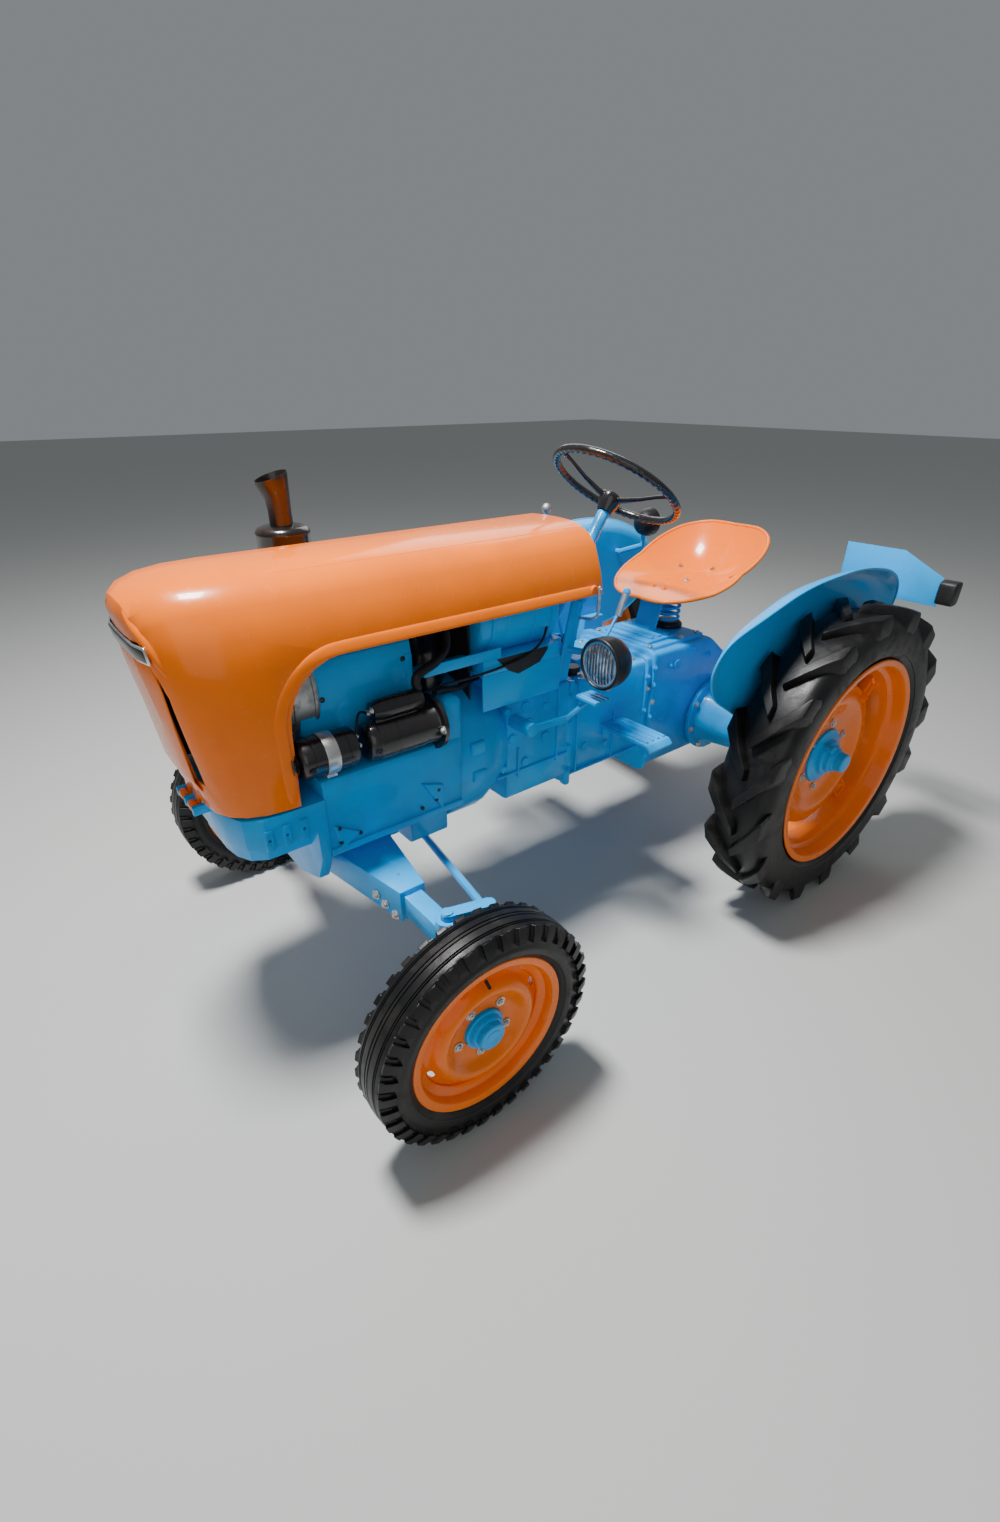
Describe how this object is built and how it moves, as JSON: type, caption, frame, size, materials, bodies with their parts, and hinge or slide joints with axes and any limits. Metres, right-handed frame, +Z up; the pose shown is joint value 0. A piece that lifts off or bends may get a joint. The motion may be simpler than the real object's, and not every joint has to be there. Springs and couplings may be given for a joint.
{
  "type": "farm tractor",
  "caption": "Small vintage farm tractor: tilting rounded hood over an open engine, sprung pan seat, lugged rear tyres, steered ribbed front wheels and leaf-shaped mudguards.",
  "frame": {"origin": "on the ground, at the middle of the tractor's footprint box", "axes": "+X forward, +Y to the tractor's left, +Z up"},
  "size_m": [2.556, 1.57, 1.5346],
  "materials": {
    "orange_paint": "gloss",
    "blue_paint": "gloss",
    "black_rubber": "matt",
    "tyre_rubber": "matt",
    "black_enamel": "gloss",
    "grey_metal": "satin",
    "dark_plastic": "satin"
  },
  "bodies": {
    "tractor": {"rear_housing": "blue_paint", "gearbox": "blue_paint", "clutch_housing": "blue_paint", "bell_housing": "blue_paint", "engine_block": "blue_paint", "front_support": "blue_paint", "air_duct": "blue_paint", "fuel_tank": "blue_paint", "tank_frame": "blue_paint", "steering_column": "blue_paint", "front_axle": "blue_paint", "seat_bracket": "blue_paint", "plate_bracket": "blue_paint", "drawbar": "blue_paint", "relay_bracket": "blue_paint", "clutch_pedal": "blue_paint", "brake_pedal": "blue_paint", "hood_frame": "blue_paint", "seat_spring": "blue_paint", "axle_trumpet_left": "blue_paint", "axle_trumpet_right": "blue_paint", "fender_left": "blue_paint", "fender_right": "blue_paint", "foot_rest_left": "blue_paint", "foot_rest_right": "blue_paint", "headlamp_left": "black_rubber", "headlamp_right": "black_rubber", "fan_housing": "grey_metal", "dynamo": "black_enamel", "starter": "black_enamel", "intake_hose": "black_rubber", "muffler": "black_enamel", "seat": "orange_paint", "work_lamp": "black_rubber", "tail_lamp": "dark_plastic", "gear_lever": "grey_metal", "hand_lever": "grey_metal"},
    "hood_lid": {"hood": "orange_paint", "nose_trim": "grey_metal"},
    "wheel_column": {"steering_wheel": "black_enamel"},
    "steering_relay": {"relay_lever": "blue_paint"},
    "track_rod_left": {"tie_rod_left": "blue_paint"},
    "swivel_left": {"knuckle_left": "blue_paint"},
    "front_wheel_set_left": {"front_tyre_left": "tyre_rubber", "front_wheel_left": "orange_paint", "front_hub_left": "blue_paint"},
    "rear_wheel_set_left": {"rear_tyre_left": "tyre_rubber", "rear_wheel_left": "orange_paint", "rear_hub_left": "blue_paint"},
    "track_rod_right": {"tie_rod_right": "blue_paint"},
    "swivel_right": {"knuckle_right": "blue_paint"},
    "front_wheel_set_right": {"front_tyre_right": "tyre_rubber", "front_wheel_right": "orange_paint", "front_hub_right": "blue_paint"},
    "rear_wheel_set_right": {"rear_tyre_right": "tyre_rubber", "rear_wheel_right": "orange_paint", "rear_hub_right": "blue_paint"}
  },
  "joints": [
    {"name": "swivel_left", "type": "hinge", "parent": "tractor", "child": "swivel_left", "pos_m": [0.84003, 0.59, 0.318], "axis": [0, 0, 1], "range_deg": [-40, 40]},
    {"name": "swivel_right", "type": "hinge", "parent": "tractor", "child": "swivel_right", "pos_m": [0.84003, -0.59, 0.318], "axis": [0, 0, 1], "range_deg": [-40, 40]},
    {"name": "steering_relay", "type": "hinge", "parent": "tractor", "child": "steering_relay", "pos_m": [0.68003, 0, 0.46], "axis": [0, 0, 1], "range_deg": [-40, 40]},
    {"name": "steering_wheel", "type": "hinge", "parent": "tractor", "child": "wheel_column", "pos_m": [-0.26897, 0, 1.404], "axis": [-0.5534, 0, 0.8329], "range_deg": [-480, 480]},
    {"name": "hood_hinge", "type": "hinge", "parent": "tractor", "child": "hood_lid", "pos_m": [1.22403, 0, 0.775], "axis": [0, 1, 0], "range_deg": [0, 65]},
    {"name": "track_rod_left", "type": "hinge", "parent": "steering_relay", "child": "track_rod_left", "pos_m": [0.57503, 0.03, 0.43], "axis": [0, 0, 1], "range_deg": [-40, 40]},
    {"name": "front_wheel_left", "type": "hinge", "parent": "swivel_left", "child": "front_wheel_set_left", "pos_m": [0.84003, 0.713, 0.318], "axis": [0, 1, 0], "continuous": true},
    {"name": "rear_wheel_left", "type": "hinge", "parent": "tractor", "child": "rear_wheel_set_left", "pos_m": [-0.73296, 0.679, 0.545], "axis": [0, 1, 0], "continuous": true},
    {"name": "track_rod_right", "type": "hinge", "parent": "steering_relay", "child": "track_rod_right", "pos_m": [0.57503, -0.03, 0.43], "axis": [0, 0, 1], "range_deg": [-40, 40]},
    {"name": "front_wheel_right", "type": "hinge", "parent": "swivel_right", "child": "front_wheel_set_right", "pos_m": [0.84003, -0.713, 0.318], "axis": [0, 1, 0], "continuous": true},
    {"name": "rear_wheel_right", "type": "hinge", "parent": "tractor", "child": "rear_wheel_set_right", "pos_m": [-0.73296, -0.679, 0.545], "axis": [0, 1, 0], "continuous": true}
  ],
  "couplings": [
    {"joint": "swivel_right", "follows": "swivel_left", "ratio": 1},
    {"joint": "steering_relay", "follows": "swivel_left", "ratio": 1},
    {"joint": "track_rod_left", "follows": "swivel_left", "ratio": -1},
    {"joint": "track_rod_right", "follows": "swivel_left", "ratio": -1},
    {"joint": "steering_wheel", "follows": "swivel_left", "ratio": 12}
  ]
}
